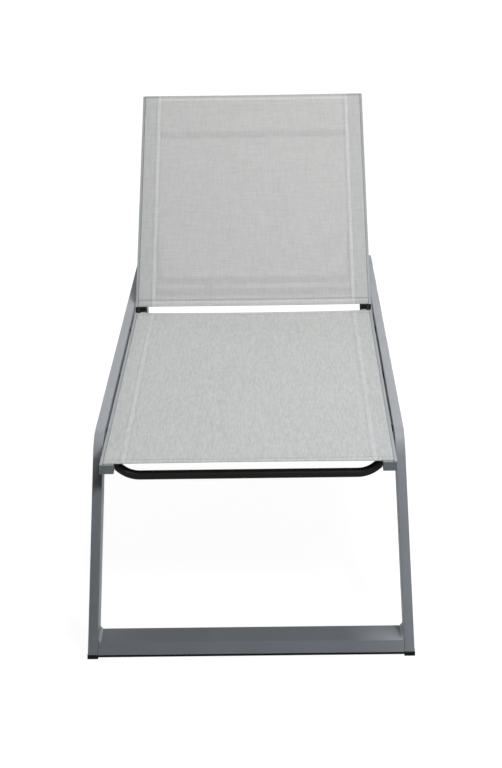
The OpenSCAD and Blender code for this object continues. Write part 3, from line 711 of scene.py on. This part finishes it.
def crossbar_clip():
    """A black clip that snaps round the backrest's lower crossbar, with a tongue up along the mesh."""
    matrix = BACK_FRAME @ Matrix.Translation((CLIP_X, CLIP_Y, CLIP_Z))
    middle_r = CLIP_R + CLIP_T / 2
    lip_r, lip_at = CLIP_LIP_SHARE * middle_r, math.radians(CLIP_OPENS_DEG)
    outline = arc_points(0, 0, CLIP_R + CLIP_T, 90, CLIP_OPENS_DEG, steps=24)
    outline.append((lip_r * math.cos(lip_at), lip_r * math.sin(lip_at)))
    outline += arc_points(0, 0, CLIP_R, CLIP_OPENS_DEG, 90, steps=24)
    outline += [(CLIP_REACH, CLIP_R), (CLIP_REACH + CLIP_T / 3, middle_r), (CLIP_REACH, CLIP_R + CLIP_T)]
    slices = ((-0.5, CLIP_CHAMFER), (-CLIP_FLAT_SHARE, 0), (CLIP_FLAT_SHARE, 0), (0.5, CLIP_CHAMFER))
    verts = []
    for share, chamfer in slices:
        for y, z in outline:
            run = math.hypot(y, z)
            size = 1 + (chamfer if run < middle_r else -chamfer) / run
            verts.append((share * CLIP_W, y * size, z * size))
    faces = prism_faces(len(outline), len(slices) - 1)
    add_object("crossbar_clip", verts, faces, BLACK, matrix, "backrest", smooth=False)


bar_shadow_strip("front_bar_shadow_strip", "front_floor_bar")
bar_shadow_strip("rear_bar_shadow_strip", "rear_floor_bar")
crossbar_clip()

# Slings

# Painted shade and highlight by distance from a free edge: darker at the very edge and along the stitch
# groove, lighter along the hem's raised ridge
SEAT_HEM_LIGHT = (
    (0, 0.92), (3 * MM, 0.96), (8 * MM, 0.87), (12 * MM, 0.93), (15 * MM, 1.04),
    (18 * MM, 1.0), (22 * MM, 0.85), (26 * MM, 0.9), (30 * MM, 1.0),
)
BACK_LOW_HEM_LIGHT = (
    (0, 0.9), (7 * MM, 0.93), (12 * MM, 1.04), (16 * MM, 1.02), (19 * MM, 0.68),
    (21 * MM, 0.78), (24 * MM, 1.0),
)
BACK_TOP_HEM_LIGHT = (
    (0, 0.84), (6 * MM, 0.78), (9 * MM, 0.88), (13.5 * MM, 1.08), (18 * MM, 1.02),
    (36 * MM, 1.0), (38.5 * MM, 0.96), (42 * MM, 1.0),
)
SEAT_MESH = mesh_material(
    "seat_mesh", SEAT_LEN,
    tones=(srgb(188, 189, 187), srgb(179, 180, 179), srgb(188, 189, 190)),
    see_through=0.08,
    streaks=((0.09, 26 * MM), (0.05, 12 * MM)),
    hems=(SEAT_HEM_LIGHT, SEAT_HEM_LIGHT),
)
BACK_MESH = mesh_material(
    "backrest_mesh", BACK_LEN,
    tones=(srgb(188, 188, 186), srgb(174, 174, 173), srgb(188, 189, 190)),
    see_through=0.2,
    streaks=((0.045, 25 * MM), (0.045, 25 * MM)),
    hems=(BACK_LOW_HEM_LIGHT, BACK_TOP_HEM_LIGHT),
    crease=CREASE,
)
THREAD = thread_material("sewing_thread", srgb(194, 195, 197))
seat = sling(
    "seat_mesh_sling", SEAT_LEN, slot_len=SEAT_LEN, edge_in=SEAT_EDGES_IN,
    matrix=SEAT_FRAME, body="frame", node="seat_sling", material=SEAT_MESH,
)
back = sling(
    "backrest_mesh_sling", BACK_LEN, slot_len=BACK_SLOT_LEN, edge_in=BACK_EDGES_IN,
    matrix=BACK_FRAME, body="backrest", node="backrest_sling", material=BACK_MESH,
)
seat_thread = stitching("seat_stitching", SEAT_LEN, SEAT_EDGES_IN, SEAT_FRAME, "frame", THREAD)
back_thread = stitching("backrest_stitching", BACK_LEN, BACK_EDGES_IN, BACK_FRAME, "backrest", THREAD)

bpy.context.view_layer.update()
